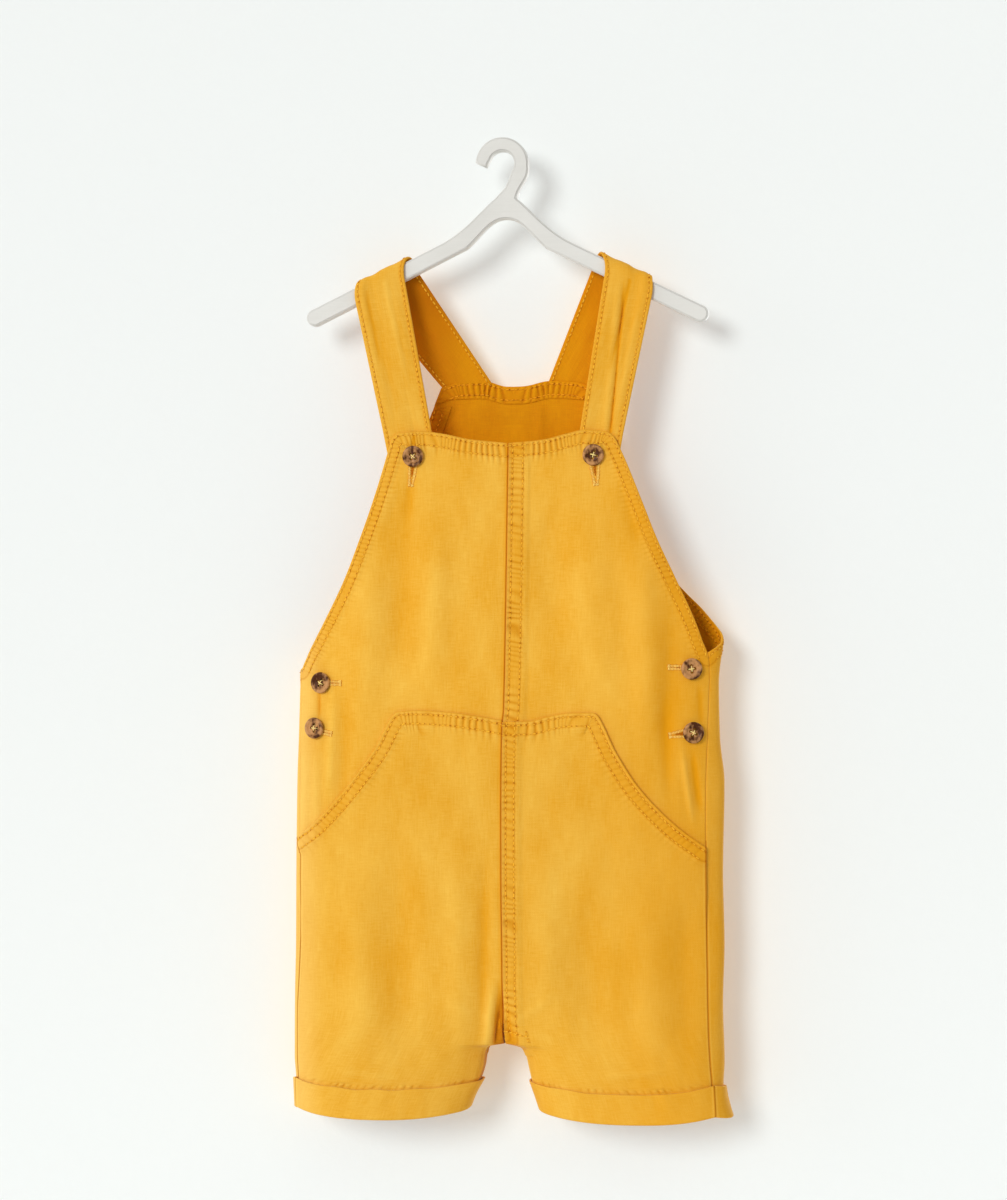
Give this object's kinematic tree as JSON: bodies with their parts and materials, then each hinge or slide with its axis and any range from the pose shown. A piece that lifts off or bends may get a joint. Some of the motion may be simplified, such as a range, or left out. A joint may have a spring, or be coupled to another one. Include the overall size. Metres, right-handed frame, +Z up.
{
  "type": "kids dungarees on a hanger",
  "caption": "Toddler's short dungarees with a bib, shoulder straps, kangaroo pocket and turned-up cuffs, buttoned and hung on a flat hanger.",
  "frame": {"origin": "the inside top of the hanger's hook, in the middle of the board's thickness, where a peg or rail carries it", "axes": "+Z up, -Y towards the front of the garment, +X to the viewer's right when looking at the front"},
  "size_m": [0.2926, 0.0588, 0.6455],
  "materials": {
    "twill": "washed cotton twill, mustard yellow, matt",
    "button": "mottled brown imitation horn, polished",
    "hanger": "white, satin"
  },
  "bodies": {
    "root": {"front_bib_left": "twill", "front_leg_left": "twill", "back_left": "twill", "cuff_left": "twill", "strap_left": "twill", "front_bib_right": "twill", "front_leg_right": "twill", "back_right": "twill", "cuff_right": "twill", "strap_right": "twill", "side_underlap_left": "twill", "side_underlap_right": "twill", "back_neck_facing": "twill", "back_armhole_facing_left": "twill", "back_armhole_facing_right": "twill", "button_bib_left": "button", "button_bib_right": "button", "button_side_left_upper": "button", "button_side_left_lower": "button", "button_side_right_upper": "button", "button_side_right_lower": "button", "hanger": "hanger"}
  },
  "joints": []
}
